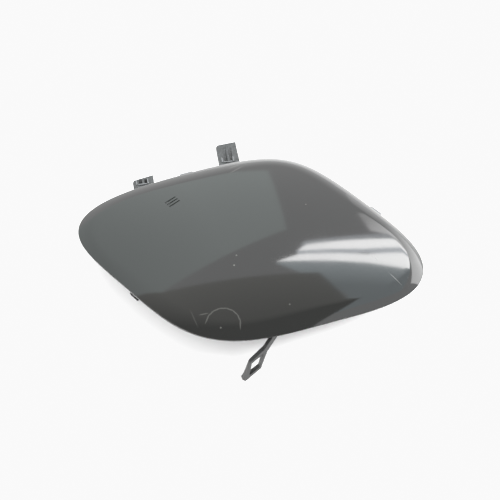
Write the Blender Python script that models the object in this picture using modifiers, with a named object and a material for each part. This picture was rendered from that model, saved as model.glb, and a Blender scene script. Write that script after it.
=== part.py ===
"""Bumper tow hook cover, moulded in one piece of black plastic.

It lies on its back with its gloss face up. +Z points out of the gloss face, +Y is the way its two hook
tongues point, and X runs along its longer side. The origin is under the middle of its box.
"""

import math

import bmesh
import bpy
from mathutils import Matrix, Vector

for leftover in list(bpy.data.objects):
    bpy.data.objects.remove(leftover, do_unlink=True)

# Lengths are in metres and angles in degrees. The crown's highest point is over x = y = 0

# Panel outline: a rounded rhomboid, given by how far it reaches from its middle along two slanted ways
PANEL_MIDDLE = Vector((0.0018, -0.0014))
PANEL_RIGHT = 0.0517
PANEL_LEFT = 0.0496
PANEL_UP = 0.0495
PANEL_DOWN = 0.0418
LONG_SIDE_AZIMUTH = 9.3
SHORT_SIDE_AZIMUTH = 125.4
# How square each corner is: 2 is the corner of an ellipse
SQUARE_TOP = 6.05
SQUARE_LEFT = 3.32
SQUARE_BOTTOM = 3.73
SQUARE_RIGHT = 2.71

# Gloss skin: a shallow crown with an edge that rolls down, most of all towards the right
CROWN_HEIGHT = 0.022
CROWN_RADIUS_LONG = 0.300
CROWN_RADIUS_SHORT = 0.200
SKIN_WALL = 0.0025
ROLL_WIDTH = 0.007
ROLL_LEAST = 0.0004
ROLL_MOST = 0.0024
ROLL_AZIMUTH = 10.0
EDGE_ROUND = 0.0008
SHARP_ANGLE = 40.0

# What the cover clips onto
BUMPER_WALL = 0.003
FIT_CLEARANCE = 0.0002

# Back flange, which fills the opening in the bumper
FLANGE_INSET = 0.0054
FLANGE_WALL = 0.0016
FLANGE_DEPTH = 0.0068

# Ribs under the skin: long ones at these shares of the short reach, cross ones at shares of the long reach
RIB_WALL = 0.0012
RIB_DEPTH = 0.0032
LONG_RIB_SHARES = (-0.30, 0.30)
CROSS_RIB_SHARES = (-0.45, 0.0, 0.45)

# Hook tongues: middle in plan, reach of the tip past the panel's edge, and the slant of the tip
HOOK_WIDTH = 0.0085
HOOK_THICKNESS = 0.0023
HOOK_CORNER = 0.0016
LEFT_HOOK_X = -0.0353
LEFT_HOOK_REACH = 0.009071
LEFT_HOOK_SLANT = 12.0
RIGHT_HOOK_X = 0.0001
RIGHT_HOOK_REACH = 0.015789
RIGHT_HOOK_SLANT = 5.0
# Two grooves in a tongue's upper face, on both sides of its middle rib, that run out short of its tip
GROOVE_DEPTH = 0.0011
GROOVE_WIDTH = 0.0013
GROOVE_RIB = 0.0009
GROOVE_TIP = 0.0009
# Low crush ribs on a tongue, which take up the play of the bumper's wall: two along it and one across
CRUSH_HEIGHT = 0.0004
CRUSH_WIDTH = 0.0005
CRUSH_LENGTH = 0.0025
CRUSH_GAP = 0.0056
CRUSH_OFFSETS = (-0.0027, 0.0018)
# Gussets that tie a tongue's root to the skin inside the flange
GUSSET_WALL = 0.0012
GUSSET_LENGTH = 0.006

# Snap legs, whose feet carry the cover on a table: how far each stands round the outline
LEG_TURNS = {"left": 175.8, "right": 6.0, "top": 80.0}
LEG_WIDTH = 0.004
LEG_WALL = 0.0020
LEG_SLOT = 0.0012
LEG_FOOT_CHAMFER = 0.0005
NOSE_REACH = 0.0012
NOSE_HEIGHT = 0.0042
NOSE_FLAT = 0.0005

# Nibs that keep the gap between the skin's edge and the bumper even
NIB_TURNS = {"right": 5.0, "top": 79.8}
NIB_WIDTH = 0.0053
NIB_REACH = 0.0012
NIB_THICKNESS = 0.0012
NIB_BELOW_EDGE = 0.0007
NIB_ROOT = 0.003

# Push mark: three short grooves in the gloss face
MARK_MIDDLE = Vector((-0.0255, 0.0245))
MARK_AZIMUTH = 29.5
MARK_COUNT = 3
MARK_LENGTH = 0.0049
MARK_WIDTH = 0.00055
MARK_DEPTH = 0.00035
MARK_PITCH = 0.00135

# Tether strap: a thin leaf that ends in a diamond eye. Its face leans back and its toe rests on the table,
# at this x and reach past the panel's edge
STRAP_X = -0.0097
STRAP_REACH = 0.007349
STRAP_FACE_AZIMUTH = -87.3
STRAP_FACE_ELEVATION = 30.6
STRAP_RISE = 51.3
STRAP_DEPTH = 0.00276
STRAP_WALL = 0.0013
# Lengths along the leaf from its toe, and widths across it
TOE_WIDTH = 0.0013
TOE_LENGTH = 0.0018
EYE_WIDEST = 0.0070
EYE_LENGTH = 0.0138
EYE_LEFT = 0.0024
EYE_RIGHT = 0.0023
EYE_BAR = 0.0008
EYE_HOLE_START = 0.0028
EYE_HOLE_END = 0.0122
ROOT_WIDTH = 0.005
ROOT_DEPTH = 0.0016
# How far the leaf's end stays under the middle of the skin's wall, as a share of the wall
ROOT_SINK = 0.12

# Facets
SKIN_COLUMNS = 30
SKIN_ROWS = 26
RING_CROWDING = 1.4
FLANGE_SIDES = 96
EDGE_SEGMENTS = 2
RIB_STEPS = 12
CORNER_STEPS = 5
OUTLINE_SAMPLES = 1440

NUDGE = 1e-4
WELD = 1e-6
HALVINGS = 30
LONG_WAY = Vector((math.cos(math.radians(LONG_SIDE_AZIMUTH)), math.sin(math.radians(LONG_SIDE_AZIMUTH))))
SHORT_WAY = Vector((math.cos(math.radians(SHORT_SIDE_AZIMUTH)), math.sin(math.radians(SHORT_SIDE_AZIMUTH))))


def outline_reach(turn):
    """How far the outline reaches in the slanted frame, in the direction turn."""
    along, across = math.cos(turn), math.sin(turn)
    long_reach = PANEL_RIGHT if along >= 0 else PANEL_LEFT
    short_reach = PANEL_UP if across >= 0 else PANEL_DOWN
    if across >= 0:
        square = SQUARE_TOP if along >= 0 else SQUARE_LEFT
    else:
        square = SQUARE_RIGHT if along >= 0 else SQUARE_BOTTOM
    filled = abs(along / long_reach) ** square + abs(across / short_reach) ** square
    return filled ** (-1 / square)


def slanted(turn, reach):
    """Plan point at this turn and reach from the panel's middle."""
    return PANEL_MIDDLE + reach * (math.cos(turn) * LONG_WAY + math.sin(turn) * SHORT_WAY)


def outline_point(turn):
    return slanted(turn, outline_reach(turn))


def outward(turn):
    """Outward normal of the outline in plan."""
    step = outline_point(turn + NUDGE) - outline_point(turn - NUDGE)
    return Vector((step.y, -step.x)).normalized()


def inset_point(turn, inset):
    return outline_point(turn) - inset * outward(turn)


def place_in_outline(point):
    """The turn of a plan point, and its share of the way from the middle to the outline."""
    offset = point - PANEL_MIDDLE
    area = LONG_WAY.x * SHORT_WAY.y - LONG_WAY.y * SHORT_WAY.x
    along = (offset.x * SHORT_WAY.y - offset.y * SHORT_WAY.x) / area
    across = (LONG_WAY.x * offset.y - LONG_WAY.y * offset.x) / area
    turn = math.atan2(across, along)
    return turn, math.hypot(along, across) / outline_reach(turn)


def roll_depth(turn):
    """How far the edge rolls down there."""
    edge = outline_point(turn)
    facing = math.atan2(edge.y, edge.x) - math.radians(ROLL_AZIMUTH)
    return ROLL_LEAST + (ROLL_MOST - ROLL_LEAST) * (0.5 + 0.5 * math.cos(facing))


def face_height(point):
    """Height of the gloss face over a plan point."""
    turn, share = place_in_outline(point)
    reach = (outline_point(turn) - PANEL_MIDDLE).length
    into_roll = max(0.0, 1 - (1 - share) * reach / ROLL_WIDTH)
    crown = point.x**2 / (2 * CROWN_RADIUS_LONG) + point.y**2 / (2 * CROWN_RADIUS_SHORT)
    return CROWN_HEIGHT - crown - roll_depth(turn) * into_roll**2


def face_normal(point):
    """Unit normal of the gloss face."""
    step_x, step_y = Vector((NUDGE, 0)), Vector((0, NUDGE))
    slope_x = (face_height(point + step_x) - face_height(point - step_x)) / (2 * NUDGE)
    slope_y = (face_height(point + step_y) - face_height(point - step_y)) / (2 * NUDGE)
    return Vector((-slope_x, -slope_y, 1)).normalized()


def inside_skin(point):
    """A height in the middle of the skin's wall, where what stands under it is rooted."""
    return face_height(point) - SKIN_WALL / 2


def catch_height(turn):
    """Height of a face that hooks behind the bumper's wall at this place of the outline."""
    return face_height(outline_point(turn)) - SKIN_WALL - BUMPER_WALL - FIT_CLEARANCE


OUTLINE = [outline_point(2 * math.pi * i / OUTLINE_SAMPLES) for i in range(OUTLINE_SAMPLES)]


def inset_of(point):
    """Distance of a plan point inside the outline."""
    share = place_in_outline(point)[1]
    nearest = min((point - edge).length for edge in OUTLINE)
    return nearest if share < 1 else -nearest


def walk_to_inset(start, way, inset):
    """The point where a walk from start along way comes this near to the outline."""
    near, far = 0.0, PANEL_LEFT + PANEL_RIGHT
    for _ in range(HALVINGS):
        middle = (near + far) / 2
        if inset_of(start + middle * way) > inset:
            near = middle
        else:
            far = middle
    return start + near * way


def frame(x_way, y_way, z_way, origin):
    """Placing whose columns are these ways."""
    placing = Matrix((x_way, y_way, z_way)).transposed().to_4x4()
    placing.translation = origin
    return placing


def edge_frame(turn, inset):
    """Placing on the outline: X points outwards, Y runs along the edge and Z is up."""
    point = inset_point(turn, inset)
    way = outward(turn)
    return frame((way.x, way.y, 0), (-way.y, way.x, 0), (0, 0, 1), (point.x, point.y, 0))


material = bpy.data.materials.new("gloss_black_plastic")
material.use_nodes = True
shader = material.node_tree.nodes["Principled BSDF"]
shader.inputs["Base Color"].default_value = (0.018, 0.019, 0.019, 1)
shader.inputs["Roughness"].default_value = 0.12
shader.inputs["Metallic"].default_value = 0.0

cover_parts = bpy.data.collections.new("bumper_tow_hook_cover")
shape_helpers = bpy.data.collections.new("cutters_and_fused_shapes")
for collection in (cover_parts, shape_helpers):
    bpy.context.scene.collection.children.link(collection)
cover_frame = bpy.data.objects.new("cover_frame", None)
cover_parts.objects.link(cover_frame)


def add_object(name, mesh, collection):
    made = bpy.data.objects.new(name, mesh)
    made.parent = cover_frame
    collection.objects.link(made)
    if collection == shape_helpers:
        made.hide_render = True
        made.display_type = "WIRE"
    return made


def helper(name, form):
    """Writes a bmesh to a helper object with its faces pointing out."""
    bmesh.ops.recalc_face_normals(form, faces=form.faces)
    mesh = bpy.data.meshes.new(name)
    form.to_mesh(mesh)
    form.free()
    return add_object(name, mesh, shape_helpers)


def block(name, low, high, placing):
    """A box between two corners of the placing's frame."""
    form = bmesh.new()
    bmesh.ops.create_cube(form, size=1)
    low, high = Vector(low), Vector(high)
    size = high - low
    bmesh.ops.scale(form, vec=size, verts=form.verts)
    bmesh.ops.translate(form, vec=(low + high) / 2, verts=form.verts)
    bmesh.ops.transform(form, matrix=placing, verts=form.verts)
    return helper(name, form)


def plate(name, outline, thickness, placing, hole=()):
    """A flat outline in the placing's XY plane, extruded half its thickness to each side."""
    curve = bpy.data.curves.new(name, "CURVE")
    curve.dimensions = "2D"
    curve.fill_mode = "BOTH"
    curve.extrude = thickness / 2
    for loop in filter(None, (outline, hole)):
        spline = curve.splines.new("POLY")
        spline.points.add(len(loop) - 1)
        for spline_point, (x, y) in zip(spline.points, loop):
            spline_point.co = (x, y, 0, 1)
        spline.use_cyclic_u = True
    drawn = bpy.data.objects.new(name, curve)
    shape_helpers.objects.link(drawn)
    bpy.context.view_layer.update()
    flat = drawn.evaluated_get(bpy.context.evaluated_depsgraph_get())
    mesh = bpy.data.meshes.new_from_object(flat)
    bpy.data.objects.remove(drawn, do_unlink=True)
    form = bmesh.new()
    form.from_mesh(mesh)
    bpy.data.meshes.remove(mesh)
    bmesh.ops.remove_doubles(form, verts=form.verts, dist=WELD)
    bmesh.ops.transform(form, matrix=placing, verts=form.verts)
    return helper(name, form)


def boolean(target, other, operation, solver="EXACT"):
    modifier = target.modifiers.new(other.name, "BOOLEAN")
    modifier.operation = operation
    modifier.solver = solver
    modifier.object = other


def make_skin():
    """Crowned sheet on a grid that is mapped onto the outline, given its wall and its rounded edges."""
    form = bmesh.new()
    bmesh.ops.create_grid(form, x_segments=SKIN_COLUMNS, y_segments=SKIN_ROWS, size=1)
    for vertex in form.verts:
        turn = math.atan2(vertex.co.y, vertex.co.x)
        share = 1 - (1 - min(1.0, max(abs(vertex.co.x), abs(vertex.co.y)))) ** RING_CROWDING
        point = slanted(turn, share * outline_reach(turn))
        vertex.co = (point.x, point.y, face_height(point))
    mesh = bpy.data.meshes.new("tow_hook_cover")
    form.to_mesh(mesh)
    form.free()
    mesh.materials.append(material)
    skin = add_object("tow_hook_cover", mesh, cover_parts)
    wall = skin.modifiers.new("skin_wall", "SOLIDIFY")
    wall.thickness = SKIN_WALL
    wall.offset = -1
    wall.use_even_offset = True
    rounding = skin.modifiers.new("edge_round", "BEVEL")
    rounding.width = EDGE_ROUND
    rounding.segments = EDGE_SEGMENTS
    rounding.limit_method = "ANGLE"
    rounding.angle_limit = math.radians(SHARP_ANGLE)
    return skin


def make_flange():
    """Upright wall round the opening, rooted in the skin, as deep all round."""
    form = bmesh.new()
    bmesh.ops.create_circle(form, segments=FLANGE_SIDES, radius=1)
    for vertex in form.verts:
        turn = math.atan2(vertex.co.y, vertex.co.x)
        point = inset_point(turn, FLANGE_INSET + FLANGE_WALL / 2)
        vertex.co = (point.x, point.y, inside_skin(point))
    hung = bmesh.ops.extrude_edge_only(form, edges=form.edges[:])["geom"]
    for vertex in hung:
        if isinstance(vertex, bmesh.types.BMVert):
            vertex.co.z -= SKIN_WALL / 2 + FLANGE_DEPTH
    flange = helper("back_flange", form)
    wall = flange.modifiers.new("flange_wall", "SOLIDIFY")
    wall.thickness = FLANGE_WALL
    wall.offset = 0
    wall.use_even_offset = True
    return flange


def make_rib(name, start, way):
    """Upright rib that follows the skin from one side of the flange to the other."""
    ends = [walk_to_inset(start, sign * way, FLANGE_INSET + FLANGE_WALL / 2) for sign in (-1, 1)]
    length = (ends[1] - ends[0]).length
    steps = [i * length / RIB_STEPS for i in range(RIB_STEPS + 1)]
    roots = [(step, inside_skin(ends[0] + step * way)) for step in steps]
    lower = SKIN_WALL / 2 + RIB_DEPTH
    feet = [(step, height - lower) for step, height in reversed(roots)]
    placing = frame((way.x, way.y, 0), (0, 0, 1), (way.y, -way.x, 0), (ends[0].x, ends[0].y, 0))
    return plate(name, roots + feet, RIB_WALL, placing)


def make_ribs():
    ribs = []
    for i, share in enumerate(LONG_RIB_SHARES):
        reach = PANEL_UP if share > 0 else PANEL_DOWN
        ribs.append(make_rib(f"long_rib_{i + 1}", PANEL_MIDDLE + share * reach * SHORT_WAY, LONG_WAY))
    for i, share in enumerate(CROSS_RIB_SHARES):
        reach = PANEL_RIGHT if share > 0 else PANEL_LEFT
        ribs.append(make_rib(f"cross_rib_{i + 1}", PANEL_MIDDLE + share * reach * LONG_WAY, SHORT_WAY))
    return ribs


def hook_roots(middle_x):
    """Where the two sides of a tongue meet the flange."""
    return [
        walk_to_inset(Vector((middle_x + side * HOOK_WIDTH / 2, 0)), Vector((0, 1)),
                      FLANGE_INSET + FLANGE_WALL / 2)
        for side in (-1, 1)
    ]


def make_tongue(name, middle_x, roots, tip_y, slant, top, bar_y):
    """Flat tongue with a slanted tip and two grooves in its upper face, which start at the crush bar."""
    half = HOOK_WIDTH / 2
    lean = math.tan(math.radians(slant))
    tip_left, tip_right = tip_y - half * lean, tip_y + half * lean
    corner = Vector((-half + HOOK_CORNER, tip_left + HOOK_CORNER * lean - HOOK_CORNER))
    bend = math.pi / 2 - math.radians(slant)
    angles = [math.pi - bend * (1 - i / CORNER_STEPS) for i in range(CORNER_STEPS + 1)]
    rounded = [(corner.x + HOOK_CORNER * math.cos(a), corner.y + HOOK_CORNER * math.sin(a)) for a in angles]
    outline = [(-half, roots[0].y), (half, roots[1].y), (half, tip_right)] + rounded
    placing = Matrix.Translation((middle_x, 0, top - HOOK_THICKNESS / 2))
    tongue = plate(name, outline, HOOK_THICKNESS, placing)
    start = bar_y + CRUSH_WIDTH
    deepest = start + GROOVE_DEPTH
    end = max(tip_left - GROOVE_TIP, deepest + GROOVE_DEPTH)
    groove = [(start, GROOVE_DEPTH), (start, 0), (deepest, -GROOVE_DEPTH), (end, 0), (end, GROOVE_DEPTH)]
    for side, label in ((-1, "left"), (1, "right")):
        x = middle_x + side * (GROOVE_RIB + GROOVE_WIDTH) / 2
        placing = frame((0, 1, 0), (0, 0, 1), (1, 0, 0), (x, 0, top))
        boolean(tongue, plate(f"{name}_groove_{label}", groove, GROOVE_WIDTH, placing), "DIFFERENCE")
    return tongue


def make_crush_ribs(name, middle_x, top, bar_y):
    """Two low ribs along the tongue and a low bar across it between them."""
    placing = Matrix.Translation((middle_x, bar_y, top))
    ribs = []
    for number, offset in enumerate(CRUSH_OFFSETS):
        low = (offset - CRUSH_WIDTH / 2, 0, -CRUSH_HEIGHT)
        high = (offset + CRUSH_WIDTH / 2, CRUSH_LENGTH, CRUSH_HEIGHT)
        ribs.append(block(f"{name}_crush_rib_{number + 1}", low, high, placing))
    left, right = CRUSH_OFFSETS
    low = (left + CRUSH_WIDTH, -CRUSH_WIDTH / 2, -CRUSH_HEIGHT)
    high = (right - CRUSH_WIDTH, CRUSH_WIDTH / 2, CRUSH_HEIGHT)
    ribs.append(block(f"{name}_crush_bar", low, high, placing))
    return ribs


def make_hook(side, middle_x, reach, slant):
    """Tongue that slides behind the bumper's wall, its crush ribs, and the gussets at its root."""
    edge = walk_to_inset(Vector((middle_x, 0)), Vector((0, 1)), 0)
    top = catch_height(place_in_outline(edge)[0])
    roots = hook_roots(middle_x)
    name = f"{side}_hook"
    bar_y = edge.y + CRUSH_GAP
    fused = [make_tongue(name, middle_x, roots, edge.y + reach, slant, top, bar_y)]
    fused += make_crush_ribs(name, middle_x, top, bar_y)
    for sign, label, root in ((-1, "left", roots[0]), (1, "right", roots[1])):
        x = middle_x + sign * (HOOK_WIDTH / 2 - GUSSET_WALL)
        far = Vector((x, root.y - GUSSET_LENGTH))
        gusset = [
            (root.y, inside_skin(root)),
            (far.y, inside_skin(far)),
            (far.y, inside_skin(far) - SKIN_WALL / 2 - RIB_DEPTH / 2),
            (root.y, top - HOOK_THICKNESS / 2),
        ]
        placing = frame((0, 1, 0), (0, 0, 1), (1, 0, 0), (x, 0, 0))
        fused.append(plate(f"{name}_gusset_{label}", gusset, GUSSET_WALL, placing))
    return fused


def make_leg(side, turn, flange):
    """Snap leg in a window of the flange, with a nose that catches behind the bumper's wall."""
    placing = edge_frame(turn, FLANGE_INSET)
    point = inset_point(turn, FLANGE_INSET)
    window = LEG_WIDTH / 2 + LEG_SLOT
    under_skin = face_height(point) - SKIN_WALL
    cut = block(f"{side}_leg_window", (-2 * FLANGE_WALL, -window, 0),
                (FLANGE_WALL, window, under_skin - FLANGE_WALL / 2), placing)
    boolean(flange, cut, "DIFFERENCE")
    catch = catch_height(turn)
    profile = [
        (-LEG_WALL, inside_skin(inset_point(turn, FLANGE_INSET + LEG_WALL))),
        (-LEG_WALL, LEG_FOOT_CHAMFER),
        (-LEG_WALL + LEG_FOOT_CHAMFER, 0),
        (0, 0),
        (0, catch - NOSE_HEIGHT),
        (NOSE_REACH, catch - NOSE_FLAT),
        (NOSE_REACH, catch),
        (0, catch),
        (0, inside_skin(point)),
    ]
    upright = placing @ frame((1, 0, 0), (0, 0, 1), (0, -1, 0), (0, 0, 0))
    return plate(f"{side}_leg", profile, LEG_WIDTH, upright)


def make_nib(side, turn):
    """Small flat nib on the skin's edge."""
    height = face_height(outline_point(turn)) - NIB_BELOW_EDGE
    return block(f"{side}_nib", (-NIB_ROOT, -NIB_WIDTH / 2, height - NIB_THICKNESS),
                 (NIB_REACH, NIB_WIDTH / 2, height), edge_frame(turn, 0))


def make_mark(number):
    """Cutter of one groove of the push mark."""
    way = Vector((math.cos(math.radians(MARK_AZIMUTH)), math.sin(math.radians(MARK_AZIMUTH))))
    offset = (number - (MARK_COUNT - 1) / 2) * MARK_PITCH
    middle = MARK_MIDDLE + offset * Vector((-way.y, way.x))
    normal = face_normal(middle)
    side = normal.cross(Vector((way.x, way.y, 0))).normalized()
    placing = frame(side.cross(normal), side, normal, (middle.x, middle.y, face_height(middle)))
    half = Vector((MARK_LENGTH / 2, MARK_WIDTH / 2, MARK_DEPTH))
    return block(f"mark_groove_{number + 1}", -half, half, placing)


def strap_frame():
    """Placing of the strap: X runs up along its leaf, Y across the leaf and Z out of its near face."""
    azimuth, elevation = math.radians(STRAP_FACE_AZIMUTH), math.radians(STRAP_FACE_ELEVATION)
    face = Vector((math.cos(azimuth) * math.cos(elevation), math.sin(azimuth) * math.cos(elevation),
                   math.sin(elevation)))
    level = Vector((0, 0, 1)).cross(face).normalized()
    upward = face.cross(level)
    rise = math.radians(STRAP_RISE)
    along = math.cos(rise) * level + math.sin(rise) * upward
    return along, face.cross(along), face


def strap_length(start, along):
    """How far the leaf climbs from start until the middle of its end is in the skin's wall."""
    length = 0.0
    for _ in range(HALVINGS):
        end = start + length * along
        target = inside_skin(Vector((end.x, end.y))) - SKIN_WALL * ROOT_SINK
        length += (target - end.z) / along.z
    return length


def make_strap():
    """Tether strap with its diamond eye, and the root that ties it to the skin and the flange."""
    along, across, face = strap_frame()
    half = STRAP_WALL / 2
    sole = [along * 0, across * TOE_WIDTH, -face * STRAP_DEPTH, across * TOE_WIDTH - face * STRAP_DEPTH]
    edge = walk_to_inset(Vector((STRAP_X, 0)), Vector((0, -1)), 0)
    tip = Vector((STRAP_X, edge.y - STRAP_REACH, -min(corner.z for corner in sole)))
    middle = tip - face * STRAP_DEPTH / 2
    length = strap_length(middle, along)
    outline = [
        (0, 0),
        (EYE_WIDEST, -EYE_RIGHT),
        (EYE_LENGTH, -half),
        (length, -half),
        (length, half),
        (EYE_LENGTH, half),
        (EYE_WIDEST, EYE_LEFT),
        (TOE_LENGTH, TOE_WIDTH),
        (0, TOE_WIDTH),
    ]
    hole = [
        (EYE_HOLE_START, 0),
        (EYE_WIDEST, -EYE_RIGHT + EYE_BAR),
        (EYE_HOLE_END, 0),
        (EYE_WIDEST, EYE_LEFT - EYE_BAR),
    ]
    leaf = plate("tether_strap", outline, STRAP_DEPTH, frame(along, across, face, middle), hole)
    end = middle + along * length
    start = Vector((end.x, end.y))
    inner_wall = walk_to_inset(Vector((end.x, 0)), Vector((0, -1)), FLANGE_INSET + FLANGE_WALL / 2)
    root_top = min(inside_skin(start), inside_skin(inner_wall))
    low = (end.x - ROOT_WIDTH / 2, start.y - STRAP_DEPTH / 2, root_top - SKIN_WALL / 2 - ROOT_DEPTH)
    high = (end.x + ROOT_WIDTH / 2, max(inner_wall.y, start.y + STRAP_DEPTH / 2), root_top)
    return [leaf, block("strap_root", low, high, Matrix.Identity(4))]


def make_cover():
    skin = make_skin()
    flange = make_flange()
    legs = [make_leg(side, math.radians(turn), flange) for side, turn in LEG_TURNS.items()]
    fused = [flange, *legs, *make_ribs()]
    fused += make_hook("left", LEFT_HOOK_X, LEFT_HOOK_REACH, LEFT_HOOK_SLANT)
    fused += make_hook("right", RIGHT_HOOK_X, RIGHT_HOOK_REACH, RIGHT_HOOK_SLANT)
    fused += [make_nib(side, math.radians(turn)) for side, turn in NIB_TURNS.items()]
    fused += make_strap()
    # The exact solver loses the skin where the ribs cross in its wall
    for other in fused:
        boolean(skin, other, "UNION", "MANIFOLD")
    for number in range(MARK_COUNT):
        boolean(skin, make_mark(number), "DIFFERENCE", "MANIFOLD")
    return skin


def stand_on_origin(cover):
    """Moves the frame so that the origin is under the middle of the cover's box."""
    bpy.context.view_layer.update()
    whole = cover.evaluated_get(bpy.context.evaluated_depsgraph_get())
    corners = [Vector(corner) for corner in whole.bound_box]
    low = [min(corner[i] for corner in corners) for i in range(3)]
    high = [max(corner[i] for corner in corners) for i in range(3)]
    cover_frame.location = (-(low[0] + high[0]) / 2, -(low[1] + high[1]) / 2, -low[2])


tow_hook_cover = make_cover()
stand_on_origin(tow_hook_cover)
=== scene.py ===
"""Gloss black cover of a bumper's tow eye opening, with its hook tongues, snap legs and tether strap.

It is moulded in one piece, so every piece here stands for one CAD node and keeps to its sizes. Plan points
and heights are measured from under the crown's highest point, and crown_place() moves them to the frame.
"""

import math

import bmesh
import bpy
from mathutils import Matrix, Vector


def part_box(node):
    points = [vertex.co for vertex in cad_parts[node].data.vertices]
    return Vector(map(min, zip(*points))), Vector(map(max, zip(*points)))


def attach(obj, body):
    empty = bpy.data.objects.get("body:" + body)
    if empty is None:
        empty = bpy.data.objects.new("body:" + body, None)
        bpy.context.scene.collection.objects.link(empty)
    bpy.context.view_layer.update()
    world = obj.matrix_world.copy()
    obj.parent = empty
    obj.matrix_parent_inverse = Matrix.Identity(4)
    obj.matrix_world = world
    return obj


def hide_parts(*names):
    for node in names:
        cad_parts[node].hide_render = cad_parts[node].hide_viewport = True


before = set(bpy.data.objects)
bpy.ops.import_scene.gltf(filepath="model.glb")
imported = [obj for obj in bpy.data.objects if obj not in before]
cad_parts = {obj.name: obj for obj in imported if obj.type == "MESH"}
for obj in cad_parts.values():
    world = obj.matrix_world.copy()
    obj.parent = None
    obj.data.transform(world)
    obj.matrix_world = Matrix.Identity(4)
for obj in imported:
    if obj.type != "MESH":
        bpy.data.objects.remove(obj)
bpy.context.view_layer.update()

bl_info = {
    "name": "Bumper tow hook cover",
    "version": (1, 0, 0),
    "blender": (4, 5, 0),
    "location": "View3D > Sidebar > Tow cover",
    "description": "Models the cover of a bumper's tow eye opening on its packed frame",
    "category": "Object",
}

NODE = "tow_hook_cover"
NUDGE = 1e-4
TURN = 2 * math.pi


def linear(hex_colour):
    """Linear RGBA of an sRGB hex colour."""
    channels = [int(hex_colour[i:i + 2], 16) / 255 for i in (1, 3, 5)]
    return [c / 12.92 if c <= 0.04045 else ((c + 0.055) / 1.055) ** 2.4 for c in channels] + [1.0]


def length(name, default, description):
    return bpy.props.FloatProperty(name=name, description=description, default=default, precision=5,
                                   unit="LENGTH")


def angle(name, degrees, description):
    return bpy.props.FloatProperty(name=name, description=description, default=math.radians(degrees),
                                   subtype="ANGLE")


def number(name, default, description):
    return bpy.props.FloatProperty(name=name, description=description, default=default, precision=3)


def colour(name, hex_colour, description):
    return bpy.props.FloatVectorProperty(name=name, description=description, subtype="COLOR", size=4,
                                         min=0.0, max=1.0, default=linear(hex_colour))


class CoverPanelSettings(bpy.types.PropertyGroup):
    """Outline and crown of the gloss face."""

    reach_right: length("Reach right", 0.0517, "From the middle to the right along the long sides")
    reach_left: length("Reach left", 0.0496, "From the middle to the left along the long sides")
    reach_up: length("Reach up", 0.0495, "From the middle upwards along the short sides")
    reach_down: length("Reach down", 0.0418, "From the middle downwards along the short sides")
    middle_x: length("Middle X", 0.0018, "Middle of the outline from the crown's highest point")
    middle_y: length("Middle Y", -0.0014, "Middle of the outline from the crown's highest point")
    long_way: angle("Long sides", 9.3, "Heading of the long sides in plan")
    short_way: angle("Short sides", 125.4, "Heading of the short sides in plan")
    square_top: number("Top corner", 6.05, "How square the top corner is: 2 is an ellipse")
    square_left: number("Left corner", 3.32, "How square the left corner is")
    square_bottom: number("Bottom corner", 3.73, "How square the bottom corner is")
    square_right: number("Right corner", 2.71, "How square the right corner is")
    crown_height: length("Crown height", 0.022, "Highest point of the gloss face over the table")
    crown_long: length("Crown radius, long", 0.300, "Radius of the crown along X")
    crown_short: length("Crown radius, short", 0.200, "Radius of the crown along Y")
    wall: length("Skin wall", 0.0025, "Thickness of the skin")
    roll_width: length("Roll width", 0.007, "How far in from the edge the face starts to roll down")
    roll_least: length("Roll, least", 0.0004, "Depth of the roll where it is slightest")
    roll_most: length("Roll, most", 0.0024, "Depth of the roll towards the right corner")
    roll_way: angle("Roll heading", 10.0, "Where the roll is deepest")
    edge_round: length("Edge round", 0.0008, "Radius of the skin's edge")
    mark_x: length("Push mark X", -0.0255, "Middle of the push mark")
    mark_y: length("Push mark Y", 0.0245, "Middle of the push mark")
    mark_way: angle("Push mark heading", 29.5, "Way that the grooves run")
    mark_length: length("Groove length", 0.0049, "Length of one groove")
    mark_width: length("Groove width", 0.00055, "Width of one groove")
    mark_depth: length("Groove depth", 0.00035, "Depth of one groove")
    mark_pitch: length("Groove pitch", 0.00135, "From one groove to the next")


class CoverBackSettings(bpy.types.PropertyGroup):
    """Flange, ribs, legs and nibs on the back."""

    flange_inset: length("Flange inset", 0.0054, "From the skin's edge to the flange's outer face")
    flange_wall: length("Flange wall", 0.0016, "Thickness of the flange")
    flange_depth: length("Flange depth", 0.0068, "How far the flange stands out of the skin")
    rib_wall: length("Rib wall", 0.0012, "Thickness of a rib")
    rib_depth: length("Rib depth", 0.0032, "How far a rib stands out of the skin")
    bumper_wall: length("Bumper wall", 0.0032, "Room between the skin and what hooks behind the bumper")
    leg_width: length("Leg width", 0.004, "Width of a snap leg")
    leg_wall: length("Leg wall", 0.0020, "Thickness of a snap leg")
    leg_slot: length("Leg slot", 0.0012, "Gap at each side of a leg in its window")
    leg_foot: length("Foot chamfer", 0.0005, "Chamfer at a leg's foot")
    nose_reach: length("Nose reach", 0.0012, "How far a leg's nose stands out")
    nose_height: length("Nose height", 0.0042, "Height of the slope under a leg's nose")
    nib_width: length("Nib width", 0.0053, "Width of an edge nib")
    nib_reach: length("Nib reach", 0.0012, "How far a nib stands out of the skin's edge")
    nib_wall: length("Nib wall", 0.0012, "Thickness of a nib")
    nib_lower: length("Nib below edge", 0.0007, "From the top of the skin's edge down to a nib")


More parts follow.
